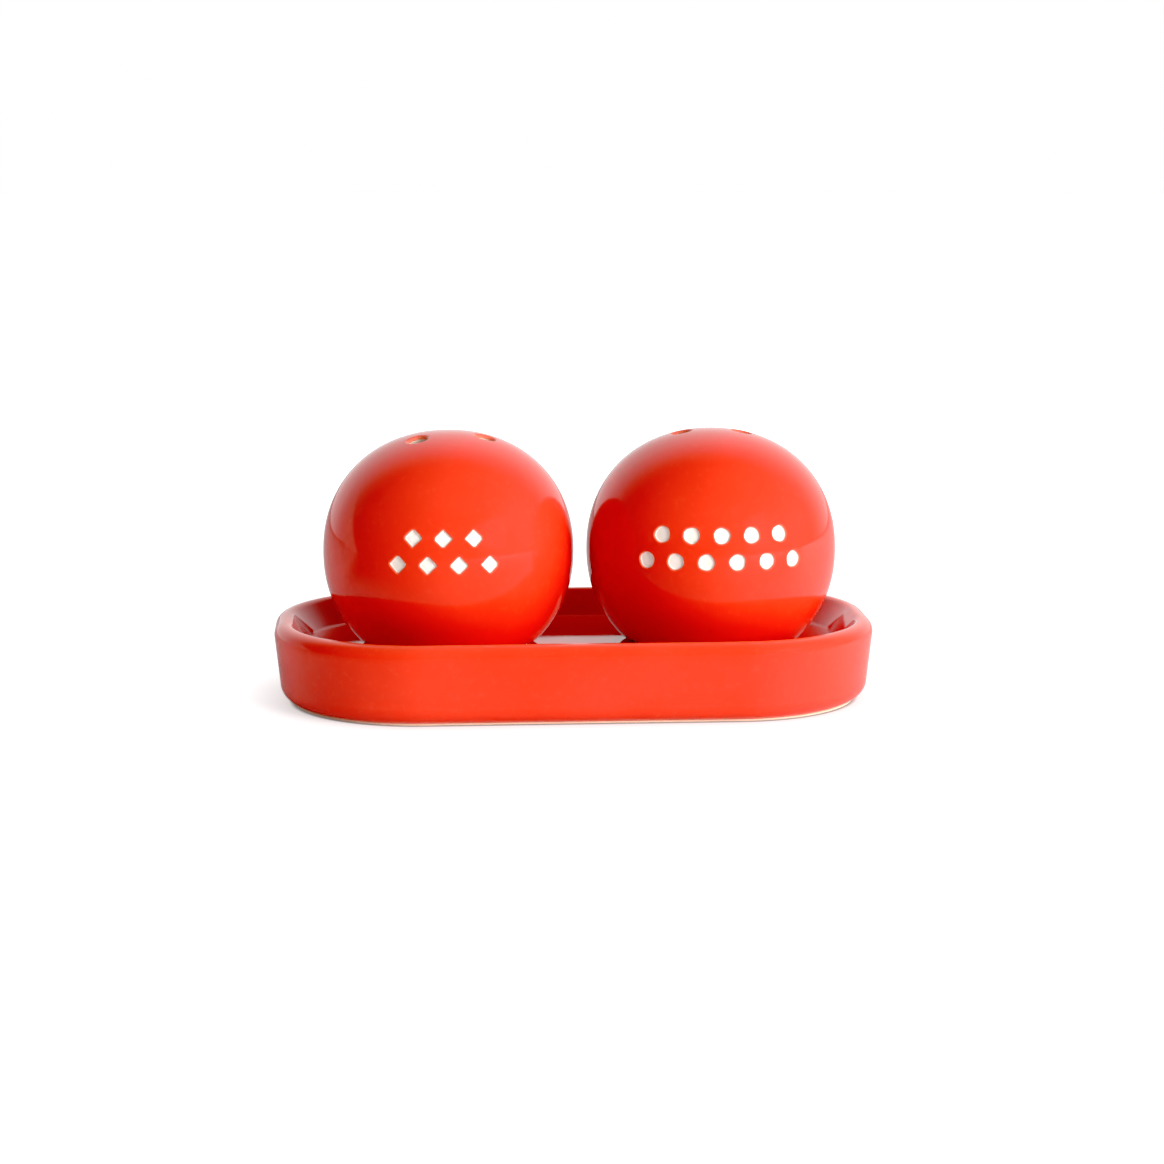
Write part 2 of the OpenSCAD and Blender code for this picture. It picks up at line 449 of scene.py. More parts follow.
def crown(shell, surface, step, z_edge, features, grid_finish):
    """Meshes the surface from its crown down to height z_edge, with features cut in.

    Each feature is (feature, its rings, whether it goes right through). Returns the edge ring
    and, for each feature that goes through, its last ring."""
    limit = surface.to_arc(np.array([[surface.radius(z_edge), 0.0, z_edge]]))[0]
    grid = polar_rings(surface, step, limit)
    for feature, rings, _ in features:
        away = grid - feature.centre
        flat = away - (away @ feature.normal)[:, None] * feature.normal
        near = (away @ feature.normal) > -feature.reach()
        clear = feature.reach() + rings[0][0] + GRID_CLEARANCE * step
        grid = grid[~(near & (np.linalg.norm(flat, axis=1) < clear))]
    outside = 1 if grid_finish == GLAZED else -1
    base = level_ring(surface.radius(z_edge), z_edge)
    edge = shell.add(base, grid_finish, 0.0, outside * surface.normal(base))
    flat_points = [surface.chart(base)]
    indices = [edge]
    loops = [closed_loop(0, AROUND)]
    indices.append(shell.add(grid, grid_finish, 0.0, outside * surface.normal(grid)))
    flat_points.append(surface.chart(grid))
    count = AROUND + len(grid)
    through = []
    for feature, rings, cut in features:
        for k, (offset, depth, finish, thin) in enumerate(rings):
            on_surface = feature.ring(surface, offset)
            exact = outside * surface.normal(on_surface) if k == 0 else None
            made = shell.add(on_surface - depth * feature.normal, finish, thin, exact)
            indices.append(made)
            flat_points.append(surface.chart(on_surface))
            loops.append(closed_loop(count, len(made)))
            count += len(made)
        if cut:
            through.append(made)
        else:
            floor = feature.centre - rings[-1][1] * feature.normal
            indices.append(shell.add(floor, rings[-1][2]))
            flat_points.append(surface.chart(feature.centre[None]))
            count += 1
    indices = np.concatenate(indices)
    removed = [set(ring.tolist()) for ring in through]
    for tri in triangulate(np.vstack(flat_points), loops):
        corners = set(indices[list(tri)].tolist())
        if not any(corners <= gone for gone in removed):
            shell.faces.append(tuple(indices[list(tri)]))
    return edge, through


def build_shaker(kind):
    """One hollow ball, glazed outside with marks and pour holes. Foot, fill hole and cavity are bare."""
    lo, hi = (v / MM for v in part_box(kind + "_shaker"))
    half_w, height = (hi.x - lo.x) / 2, hi.z - lo.z
    outer = BallSurface(half_w, height - WIDEST_Z)
    inner = BallSurface(half_w - WALL_T, height - WIDEST_Z - WALL_T)
    marks, holes = ball_features(kind, outer)
    shell = Shell()
    cut_in = [(m, MARK_RINGS, False) for m in marks] + [(h, HOLE_RINGS, True) for h in holes]
    edge, mouths = crown(shell, outer, BALL_STEP, JOIN_Z, cut_in, GLAZED)
    ring = edge
    # Outside, below the crown part, down to the rolled end of the glaze
    foot_r = outer.radius(WIDEST_Z) - FOOT_EDGE
    for z in np.linspace(JOIN_Z, -WIDEST_Z + SIDE_END_H, SIDE_RINGS)[1:]:
        points = level_ring(outer.radius(z), z)
        below = shell.add(points, GLAZED, 0.0, outer.normal(points))
        shell.band(ring, below)
        ring = below
    base = (
        (foot_r + 0.86, 1.15, GLAZED, 0.2),
        (foot_r + 0.60, 0.72, GLAZED, 0.6),
        (foot_r + 0.40, 0.50, EDGE, 1.0),
        (foot_r + 0.24, 0.38, BARE, 0.0),
        (foot_r + 0.02, 0.12, BARE, 0.0),
        (foot_r - 0.22, 0.0, BARE, 0.0),
        (foot_r - 2.0, 0.0, BARE, 0.0),
        (RECESS_R + 0.40, 0.0, BARE, 0.0),
        (RECESS_R + 0.11, 0.11, BARE, 0.0),
        (RECESS_R, 0.40, BARE, 0.0),
        (RECESS_R, RECESS_H - 0.4, BARE, 0.0),
        (RECESS_R - 0.12, RECESS_H - 0.12, BARE, 0.0),
        (RECESS_R - 0.4, RECESS_H, BARE, 0.0),
        (FILL_R + 0.4, RECESS_H, BARE, 0.0),
        (FILL_R + 0.11, RECESS_H + 0.11, BARE, 0.0),
        (FILL_R, RECESS_H + 0.4, BARE, 0.0),
        (FILL_R, CAVITY_FLOOR_Z - 0.4, BARE, 0.0),
        (FILL_R + 0.11, CAVITY_FLOOR_Z - 0.11, BARE, 0.0),
        (FILL_R + 0.4, CAVITY_FLOOR_Z, BARE, 0.0),
    )
    wall_z = CAVITY_FLOOR_Z + CAVITY_COVE_H
    corner_r = inner.radius(wall_z - WIDEST_Z)
    base += (
        (corner_r - 3.4, CAVITY_FLOOR_Z, BARE, 0.0),
        (corner_r - 1.9, CAVITY_FLOOR_Z + 0.2, BARE, 0.0),
        (corner_r - 0.8, CAVITY_FLOOR_Z + 0.75, BARE, 0.0),
        (corner_r, wall_z, BARE, 0.0),
    )
    for r, z, finish, thin in base:
        below = shell.add(level_ring(r, z - WIDEST_Z), finish, thin)
        shell.band(ring, below)
        ring = below
    # Cavity wall, up to where its own crown part starts
    for z in np.linspace(wall_z - WIDEST_Z, JOIN_Z, CAVITY_RINGS)[1:-1]:
        above = shell.add(level_ring(inner.radius(z), z), BARE)
        shell.band(ring, above)
        ring = above
    inner_holes = [(h, ((0.0, 0.0, BARE, 0.0),), True) for h in holes]
    inner_edge, ends = crown(shell, inner, CAVITY_STEP, JOIN_Z, inner_holes, BARE)
    shell.band(ring, inner_edge)
    for mouth, end in zip(mouths, ends):
        top = np.array([shell.points[i] for i in mouth])
        bottom = np.array([shell.points[i] for i in end])
        previous = mouth
        for share in BORE_SHARES:
            middle = shell.add(top + (bottom - top) * share, BARE)
            shell.band(previous, middle)
            previous = middle
        shell.band(previous, end)
    centre = (lo + hi) / 2
    place = (centre.x, 0.0)
    return shell.make(kind + "_shaker_body", [glaze, clay], place, lo.z + WIDEST_Z, TURN[kind])


# ---------------------------------------------------------------- the tray

def tray_ring(core, x):
    """Points and outward directions of a rounded rectangle at distance x from its corner centres."""
    corners = [(core[0], core[1]), (-core[0], core[1]), (-core[0], -core[1]), (core[0], -core[1])]
    points, outwards = [], []
    for k, corner in enumerate(corners):
        for h in np.radians(np.linspace(90 * k, 90 * (k + 1), CORNER_STEPS + 1)):
            points.append((corner[0] + x * math.cos(h), corner[1] + x * math.sin(h)))
            outwards.append((math.cos(h), math.sin(h)))
        after = corners[(k + 1) % 4]
        outward = outwards[-1]
        steps = SHORT_SIDE_STEPS if k % 2 else LONG_SIDE_STEPS
        for j in range(1, steps):
            share = j / steps
            points.append((
                corner[0] + (after[0] - corner[0]) * share + x * outward[0],
                corner[1] + (after[1] - corner[1]) * share + x * outward[1],
            ))
            outwards.append(outward)
    return np.array(points), np.array(outwards)


def tray_profile():
    """The tray's section from its underside, round the outside and over the rim to its floor.

    Each point is (x, z, normal x, normal z, finish, thinness of the glaze)."""
    wall_x = CORNER_R - WALL_DRAFT
    edge_z = TRAY_FOOT_H + EDGE_R * math.sin(math.radians(EDGE_SWEEP))
    foot_x = TRAY_FOOT_X
    pocket_x = foot_x - TRAY_FOOT_W
    pocket_top_x = pocket_x - POCKET_DRAFT
    under_z = FLOOR_Z - FLOOR_T
    rim_z = TRAY_H - RIM_R
    crest_x = CORNER_R - RIM_R
    slope = math.radians(INNER_SLOPE)
    slope_x = crest_x - RIM_INNER_R * math.sin(slope)
    slope_z = TRAY_H - RIM_INNER_R * (1 - math.cos(slope))
    cove_z = FLOOR_Z + COVE_R * (1 - math.cos(slope))
    foot_of_slope = slope_x - (slope_z - cove_z) / math.tan(slope)
    cove_x = foot_of_slope - COVE_R * math.sin(slope)
    sections = [
        (GLAZED, 0.0, hollow_arc(pocket_top_x - UNDER_R, under_z - UNDER_R, UNDER_R, 90, 0, 7)),
        (GLAZED, 0.0, line((pocket_top_x, under_z - UNDER_R), (pocket_x - 0.2, 1.0), 4)),
        (GLAZED, 0.6, [(pocket_x - 0.2, 1.0, -1, 0)]),
        (EDGE, 1.0, [(pocket_x - 0.04, 0.72, 0, 0)]),
        (BARE, 0.0, [(pocket_x, 0.55, 0, 0), (pocket_x, FOOT_BEVEL, -1, 0)]),
        (BARE, 0.0, [(pocket_x + 0.07, 0.07, 0, 0), (pocket_x + FOOT_BEVEL, 0, 0, -1)]),
        (BARE, 0.0, line((pocket_x + FOOT_BEVEL, 0), (foot_x - FOOT_BEVEL, 0), 3)),
        (BARE, 1.0, [(foot_x - FOOT_BEVEL, 0, 0, -1), (foot_x - 0.07, 0.07, 0, 0)]),
        (BARE, 1.0, [(foot_x, FOOT_BEVEL, 1, 0)]),
        (EDGE, 1.0, [(foot_x, TRAY_FOOT_H - 0.1, 0, 0)]),
    ]
    outside = (
        arc(wall_x - EDGE_R, edge_z, EDGE_R, -EDGE_SWEEP, 0, 12)
        + line((wall_x, edge_z), (CORNER_R, rim_z), 8)
        + arc(crest_x, rim_z, RIM_R, 0, 90, 14)
        + arc(crest_x, TRAY_H - RIM_INNER_R, RIM_INNER_R, 90, 90 + INNER_SLOPE, 8)[1:]
        + line((slope_x, slope_z), (foot_of_slope, cove_z), 6)
        + hollow_arc(cove_x, FLOOR_Z + COVE_R, COVE_R, INNER_SLOPE - 90, -90, 7)
    )
    rows = [(*p, finish, thin) for finish, thin, run in sections for p in run]
    for x, z, u, v in outside:
        near_foot = max(0.0, 1 - (z - TRAY_FOOT_H) / 0.5) if x > crest_x or z < 3 else 0.0
        on_rim = math.exp(-((x - crest_x - 0.4) / 1.3) ** 2) if z > rim_z else 0.0
        rows.append((x, z, u, v, GLAZED, max(0.5 * near_foot, 0.35 * on_rim)))
    return rows


def build_tray():
    """The tray: its section swept round a rounded rectangle, with a flat floor and underside."""
    shell = Shell()
    rings = []
    profile = tray_profile()
    under_x, floor_x = profile[0][0], profile[-1][0]
    under_z = profile[0][1]
    rows = [(under_x - inset, under_z, 0, -1, GLAZED, 0.0) for inset in FLAT_INSETS[::-1]]
    rows += profile
    rows += [(floor_x - inset, FLOOR_Z, 0, 1, GLAZED, 0.0) for inset in FLAT_INSETS]
    for x, z, u, v, finish, thin in rows:
        flat, outward = tray_ring(TRAY_CORE, x)
        points = np.column_stack([flat, np.full(len(flat), z)])
        normals = np.column_stack([outward * u, np.full(len(flat), v)])
        rings.append(shell.add(points, finish, thin, normals))
    for a, b in zip(rings, rings[1:]):
        shell.band(a, b)
    shell.fill(rings[0], UNDER_STEP, under_z, GLAZED, (0.0, 0.0, -1.0))
    shell.fill(rings[-1], FLOOR_STEP, FLOOR_Z, GLAZED, (0.0, 0.0, 1.0))
    return shell.make("tray_body", [glaze, clay])


# ---------------------------------------------------------------- stoppers

def revolve(rows, name, around, place, lift, turn, materials):
    """A closed turned shape from (r, z) rows that start and end on the axis."""
    shell = Shell()
    rings = [shell.add(level_ring(r, z, around)) for r, z in rows[1:-1]]
    for p, q in zip(rings, rings[1:]):
        shell.band(p, q)
    for (r, z), ring in ((rows[0], rings[0]), (rows[-1], rings[-1])):
        tip = shell.add([(0.0, 0.0, z)])[0]
        for i in range(around):
            shell.faces.append((ring[i], ring[(i + 1) % around], tip))
    return shell.make(name, materials, place, lift, turn)


def rounded(corner, before, after, r, steps=3):
    """Points that round off a corner of a section between its neighbours."""
    corner, before, after = (np.array(p, float) for p in (corner, before, after))
    start = corner + unit(before - corner) * r
    end = corner + unit(after - corner) * r
    t = np.linspace(0, 1, steps + 1)[:, None]
    return [tuple(p) for p in (1 - t) ** 2 * start + 2 * t * (1 - t) * corner + t ** 2 * end]


def round_off(corners, radii):
    """A section with each inner corner rounded off by its own radius."""
    rows = [corners[0]]
    for k in range(1, len(corners) - 1):
        if radii[k] > 0:
            rows += rounded(corners[k], corners[k - 1], corners[k + 1], radii[k])
        else:
            rows.append(corners[k])
    return rows + [corners[-1]]


def build_grip(place, lift, turn):
    """The bar across the dish, with rounded edges. It reaches a little into the plug on three sides."""
    bar = bmesh.new()
    bmesh.ops.create_cube(bar, size=1.0)
    for v in bar.verts:
        x, y = v.co.x * (2 * DISH_R + GRIP_REACH_X), v.co.y * GRIP_W
        z = FLANGE_Z + GRIP_INSET + (v.co.z + 0.5) * (DISH_H + GRIP_REACH_Z)
        v.co = Vector((
            place[0] + x * math.cos(turn) - y * math.sin(turn),
            place[1] + x * math.sin(turn) + y * math.cos(turn),
            lift + z,
        )) * MM
    edges = bar.edges[:]
    bmesh.ops.bevel(bar, geom=edges, offset=GRIP_EDGE_R * MM, segments=3, profile=0.5, affect="EDGES")
    mesh = bpy.data.meshes.new("grip")
    bar.to_mesh(mesh)
    bar.free()
    grip = bpy.data.objects.new("grip", mesh)
    bpy.context.scene.collection.objects.link(grip)
    return grip


def build_stopper(kind):
    """A soft plug: a flange with a dish and a grip bar below, two ribs and a hollow cup above."""
    lo, hi = (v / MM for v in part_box(kind + "_stopper"))
    corners = [
        (0, FLANGE_Z + DISH_H), (DISH_R, FLANGE_Z + DISH_H), (DISH_R, FLANGE_Z),
        (FLANGE_R, FLANGE_Z), (FLANGE_R, SEAT_Z), (PLUG_R, SEAT_Z),
    ]
    radii = [0, 0.6, 0.35, 0.7, 0.5, 0.25]
    for z in RIB_ZS:
        top = z + RIB_H
        corners += [
            (PLUG_R, z - RIB_FOOT), (RIB_R, z + RIB_SLOPE),
            (RIB_R, top - RIB_SLOPE), (PLUG_R, top + RIB_FOOT),
        ]
        radii += [0.1, 0.15, 0.15, 0.1]
    corners += [
        (PLUG_R, PLUG_TOP_Z - LEAD_IN), (PLUG_R - LEAD_IN, PLUG_TOP_Z),
        (CUP_R, PLUG_TOP_Z), (CUP_R, CUP_Z), (0, CUP_Z),
    ]
    radii += [0.2, 0.25, 0.4, 0.9, 0]
    centre = (lo + hi) / 2
    lift = lo.z - FLANGE_Z
    place = (centre.x, 0.0)
    section = round_off(corners, radii)
    name = kind + "_stopper_body"
    plug = revolve(section, name, PLUG_AROUND, place, lift, TURN[kind], [rubber])
    grip = build_grip(place, lift, math.radians(TURN[kind]))
    join = plug.modifiers.new("join", "BOOLEAN")
    join.operation = "UNION"
    join.solver = "EXACT"
    join.object = grip
    joined = bpy.data.meshes.new_from_object(plug.evaluated_get(bpy.context.evaluated_depsgraph_get()))
    plug.modifiers.clear()
    plug.data = joined
    bpy.data.objects.remove(grip)
    for poly in joined.polygons:
        poly.use_smooth = True
    return plug


# ---------------------------------------------------------------- materials

class Nodes:
    """Short calls for building a node tree."""

    def __init__(self, tree):
        self.tree = tree

    def link(self, source, node, socket):
        self.tree.links.new(source, node.inputs[socket])

    def between(self, value, low, high, out_low, out_high, smooth=False):
        """Maps value from low..high to out_low..out_high, held at both ends."""
        node = self.tree.nodes.new("ShaderNodeMapRange")
        if smooth:
            node.interpolation_type = "SMOOTHSTEP"
        ends = (("From Min", low), ("From Max", high), ("To Min", out_low), ("To Max", out_high))
        for name, end in ends:
            node.inputs[name].default_value = end
        self.link(value, node, "Value")
        return node.outputs["Result"]

    def combine(self, operation, a, b):
        """A sum on two numbers, each a plain number or a socket."""
        node = self.tree.nodes.new("ShaderNodeMath")
        node.operation = operation
        for k, part in enumerate((a, b)):
            if isinstance(part, float):
                node.inputs[k].default_value = part
            else:
                self.link(part, node, k)
        return node.outputs["Value"]

    def product(self, a, b):
        return self.combine("MULTIPLY", a, b)

    def switch(self, share, first, second):
        """Mixes two shaders."""
        node = self.tree.nodes.new("ShaderNodeMixShader")
        for k, socket in enumerate((share, first, second)):
            self.link(socket, node, k)
        return node.outputs["Shader"]


class MaterialNodes(Nodes):
    """A material that starts as a plain Principled shader."""

    def __init__(self, name):
        self.material = bpy.data.materials.new(name)
        self.material.use_nodes = True
        super().__init__(self.material.node_tree)
        self.shader = self.tree.nodes["Principled BSDF"]
        self.coords = self.tree.nodes.new("ShaderNodeTexCoord").outputs["Object"]

    def noise(self, size_mm, detail=2.0, roughness=0.5):
        """Noise whose features are about size_mm across."""
        node = self.tree.nodes.new("ShaderNodeTexNoise")
        node.inputs["Scale"].default_value = 1 / (size_mm * MM)
        node.inputs["Detail"].default_value = detail
        node.inputs["Roughness"].default_value = roughness
        self.link(self.coords, node, "Vector")
        return node.outputs["Fac"]

    def mix(self, share, colour_a, colour_b):
        """Mixes two colours, each a tuple or a socket."""
        node = self.tree.nodes.new("ShaderNodeMix")
        node.data_type = "RGBA"
        self.link(share, node, "Factor")
        for socket, colour in (("A", colour_a), ("B", colour_b)):
            target = [s for s in node.inputs if s.name == socket and s.type == "RGBA"][0]
            if isinstance(colour, tuple):
                target.default_value = (*colour, 1.0)
            else:
                self.tree.links.new(colour, target)
        return [s for s in node.outputs if s.type == "RGBA"][0]

    def vector(self, operation, a, b=None):
        """A sum on a vector socket, or its length; b is a plain vector."""
        node = self.tree.nodes.new("ShaderNodeVectorMath")
        node.operation = operation
        self.link(a, node, 0)
        if b is not None:
            node.inputs[1].default_value = b
        return node.outputs["Value" if operation == "LENGTH" else "Vector"]

    def attribute(self, name):
        node = self.tree.nodes.new("ShaderNodeAttribute")
        node.attribute_name = name
        return node.outputs["Fac"]

    def bump(self, height, depth_mm, strength=1.0, under=None):
        node = self.tree.nodes.new("ShaderNodeBump")
        node.inputs["Distance"].default_value = depth_mm * MM
        node.inputs["Strength"].default_value = strength
        self.link(height, node, "Height")
        if under is not None:
            self.link(under, node, "Normal")
        return node.outputs["Normal"]

    def clear_from_below(self, path):
        """Lets a view from below through, and the light that such a view then meets."""
        side = self.tree.nodes.new("ShaderNodeNewGeometry").outputs["Backfacing"]
        looked = self.product(side, path.outputs["Is Camera Ray"])
        passed = self.between(path.outputs["Transparent Depth"], 0.0, 1.0, 0.0, 1.0)
        clear = self.tree.nodes.new("ShaderNodeBsdfTransparent").outputs["BSDF"]
        share = self.combine("MAXIMUM", looked, passed)
        shown = self.switch(share, self.shader.outputs["BSDF"], clear)
        self.link(shown, self.tree.nodes["Material Output"], "Surface")


def glaze_material():
    """Glossy orange-red glaze over pale clay: a little lighter where it thins out on edges."""
    n = MaterialNodes("glaze")
    drift = n.between(n.noise(22.0, 2.0), 0.3, 0.7, 0.0, 1.0)
    colour = n.mix(drift, GLAZE_DEEP, GLAZE_MAIN)
    mottle = n.between(n.noise(1.6, 3.0), 0.55, 0.8, 0.0, 0.35)
    colour = n.mix(mottle, colour, GLAZE_LIGHT)
    colour = n.mix(n.attribute("glaze_thin"), colour, GLAZE_THIN)
    n.link(colour, n.shader, "Base Color")
    n.link(n.between(n.noise(9.0, 3.0), 0.3, 0.7, 0.045, 0.085), n.shader, "Roughness")
    n.shader.inputs["IOR"].default_value = 1.52
    waves = n.bump(n.noise(14.0, 1.0), 0.06, 0.5)
    peel = n.bump(n.noise(2.4, 2.0), 0.004, 0.5, waves)
    n.link(peel, n.shader, "Normal")
    return n.material


def clay_material():
    """Bare fired clay: pale, matt and finely grained."""
    n = MaterialNodes("clay")
    colour = n.mix(n.between(n.noise(3.0, 3.0), 0.35, 0.65, 0.0, 1.0), CLAY_WARM, CLAY_PALE)
    colour = n.mix(n.attribute("glaze_thin"), colour, CLAY_TINGED)
    specks = n.between(n.noise(0.35, 2.0), 0.68, 0.76, 0.0, 0.5)
    n.link(n.mix(specks, colour, CLAY_SPECK), n.shader, "Base Color")
    n.link(n.between(n.noise(0.8), 0.3, 0.7, 0.75, 0.95), n.shader, "Roughness")
    n.shader.inputs["Specular IOR Level"].default_value = 0.25
    n.link(n.bump(n.noise(0.25, 4.0, 0.6), 0.05, 0.6), n.shader, "Normal")
    return n.material


def rubber_material():
    """Soft, slightly see-through white stopper rubber."""
    n = MaterialNodes("stopper_rubber")
    colour = n.mix(n.between(n.noise(6.0, 2.0), 0.3, 0.7, 0.0, 1.0), RUBBER_WARM, RUBBER_PALE)
    n.link(colour, n.shader, "Base Color")
    n.link(n.between(n.noise(1.2, 3.0), 0.3, 0.7, 0.42, 0.58), n.shader, "Roughness")
    n.shader.inputs["Subsurface Weight"].default_value = 0.25
    n.shader.inputs["Subsurface Radius"].default_value = (1.0, 0.9, 0.8)
    n.shader.inputs["Subsurface Scale"].default_value = 1.5 * MM
    n.link(n.bump(n.noise(0.5, 3.0), 0.02, 0.4), n.shader, "Normal")
    return n.material


GLAZE_DEEP = (0.70, 0.048, 0.030)
GLAZE_MAIN = (0.74, 0.054, 0.035)
GLAZE_LIGHT = (0.77, 0.071, 0.046)
GLAZE_THIN = (0.80, 0.19, 0.12)
CLAY_WARM = (0.80, 0.73, 0.65)
CLAY_PALE = (0.88, 0.84, 0.79)
CLAY_SPECK = (0.55, 0.42, 0.32)
# Clay with a breath of glaze wiped over it, round the tray's foot
CLAY_TINGED = (0.78, 0.56, 0.42)
RUBBER_WARM = (0.60, 0.585, 0.54)
RUBBER_PALE = (0.68, 0.67, 0.635)

glaze = glaze_material()
clay = clay_material()
rubber = rubber_material()

# ---------------------------------------------------------------- pieces

tray_lo, tray_hi = (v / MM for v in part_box("tray"))
TRAY_L, TRAY_W, TRAY_H = tray_hi - tray_lo
# Corner centre of the tray's outline
TRAY_CORE = (TRAY_L / 2 - CORNER_R, TRAY_W / 2 - CORNER_R)

tray = build_tray()
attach(tray, "tray")
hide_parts("tray")
for kind in ("salt", "pepper"):
    shaker = build_shaker(kind)
    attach(shaker, kind + "_shaker")
    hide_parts(kind + "_shaker")
    stopper = build_stopper(kind)
    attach(stopper, kind + "_stopper")
    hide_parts(kind + "_stopper")

# ---------------------------------------------------------------- camera

CAM_AZIMUTH = -3.84
CAM_ELEVATION = 9.84
CAM_DISTANCE = 0.740
CAM_TARGET = Vector((2.23, 0.0, 27.88)) * MM
CAM_LENS = 91.8


def direction(azimuth, elevation):
    """Unit vector towards a direction; azimuth 0 is the front (-Y) and turns towards +X."""
    a, e = math.radians(azimuth), math.radians(elevation)
    return Vector((math.sin(a) * math.cos(e), -math.cos(a) * math.cos(e), math.sin(e)))


def make_camera():
    data = bpy.data.cameras.new("camera")
    data.lens = CAM_LENS
    data.sensor_width = 36.0
    camera = bpy.data.objects.new("camera", data)
    bpy.context.scene.collection.objects.link(camera)
    away = direction(CAM_AZIMUTH, CAM_ELEVATION)
    camera.location = CAM_TARGET + away * CAM_DISTANCE
    camera.rotation_euler = (-away).to_track_quat("-Z", "Y").to_euler()
    bpy.context.scene.camera = camera


make_camera()

# ---------------------------------------------------------------- floor, world and lights

# The floor, in metres
FLOOR_RADIUS = 3.0
# A hair below the tray's foot, so that the foot can be seen from below
FLOOR_GAP = 0.00005
FLOOR_SHADE = 0.95
# Painted light and shade in reflections: there the floor is brighter beside and behind the object than in
# front of it, and dark at the front left, away from the object, standing in for how the studio is lit
FLOOR_BESIDE = 0.60
FLOOR_FRONT = 0.21
BESIDE_SPAN = (-0.09, -0.02)
FLOOR_DARK = 0.12
DARK_SPAN_X = (-0.10, 0.10)
DARK_SPAN_Y = (-0.02, 0.04)
DARK_SPAN_R = (0.12, 0.20)
# What the camera sees of the floor is lifted, so that it reads as plain white
FLOOR_SEEN = 0.45
FLOOR_LIFT = 0.84
FAR_FLOOR = 1.2
FAR_SPAN = (0.2, 0.6)
# Painted shadow near the tray: the lift fades with distance from its foot, and a painted thin dark
# contact line marks where its foot touches
SHADOW_W = 0.014
SHADOW_LIFT = 0.66
CONTACT_W = 0.0012
CONTACT_SHADE = 0.25

# How bright the studio is. Each span is where the brightness changes, as a part of the unit vector
# towards that place: z for the ambient light, and y, x or both for what is seen in reflections. Those
# see a white back, a dim front, and a white panel at the left whose front edge leans backwards.
AMBIENT_LOW = 0.11
AMBIENT_HIGH = 0.42
AMBIENT_SPAN = (0.1, 0.8)
BACK_NEAR = 0.10
BACK_FAR = 1.05
BACK_SPAN = (0.1, 0.9)
FRONT_WALL = 0.13
FRONT_SPAN = (-0.87, 0.9)
LEFT_PANEL = 0.60
LEFT_SPAN = (-0.55, -0.25)
LEFT_EDGE = (0.03, 0.13)
LEFT_LEAN = 0.8

# Softboxes: name, azimuth and elevation towards it, distance, side and power
SOFTBOXES = (
    ("key", 42, 18, 1.4, 0.7, 25),
    ("left_fill", -90, 12, 1.4, 1.0, 4),
    ("right_fill", 82, 20, 1.4, 1.0, 11),
    ("back", 180, 45, 1.4, 1.0, 5),
)


class WorldNodes(Nodes):
    """The world's node tree, cleared."""

    def __init__(self, world):
        world.use_nodes = True
        super().__init__(world.node_tree)
        self.tree.nodes.clear()

    def glow(self, strength):
        """A white background of a given strength, a number or a socket."""
        node = self.tree.nodes.new("ShaderNodeBackground")
        node.inputs["Color"].default_value = (1.0, 1.0, 1.0, 1.0)
        if isinstance(strength, float):
            node.inputs["Strength"].default_value = strength
        else:
            self.link(strength, node, "Strength")
        return node.outputs["Background"]


def make_world():
    """Plain white to the camera, soft and brighter from above for light, and a studio for reflections."""
    world = bpy.data.worlds.new("studio")
    bpy.context.scene.world = world
    w = WorldNodes(world)
    towards = w.tree.nodes.new("ShaderNodeTexCoord").outputs["Generated"]
    split = w.tree.nodes.new("ShaderNodeSeparateXYZ")
    w.link(towards, split, 0)
    x, y, z = (split.outputs[k] for k in range(3))
    back = w.between(y, *BACK_SPAN, BACK_NEAR, BACK_FAR, smooth=True)
    front = w.between(x, *FRONT_SPAN, 0.0, FRONT_WALL, smooth=True)
    leftwards = w.between(x, *LEFT_SPAN, 1.0, 0.0, smooth=True)
    behind_edge = w.combine("SUBTRACT", y, w.product(z, LEFT_LEAN))
    left = w.product(leftwards, w.between(behind_edge, *LEFT_EDGE, 0.0, LEFT_PANEL, smooth=True))
    studio = w.combine("MAXIMUM", w.combine("MAXIMUM", back, left), front)
    ambient = w.between(z, *AMBIENT_SPAN, AMBIENT_LOW, AMBIENT_HIGH, smooth=True)
    path = w.tree.nodes.new("ShaderNodeLightPath")
    lit = w.switch(path.outputs["Is Glossy Ray"], w.glow(ambient), w.glow(studio))
    seen = w.switch(path.outputs["Is Camera Ray"], lit, w.glow(1.0))
    output = w.tree.nodes.new("ShaderNodeOutputWorld")
    w.link(seen, output, "Surface")


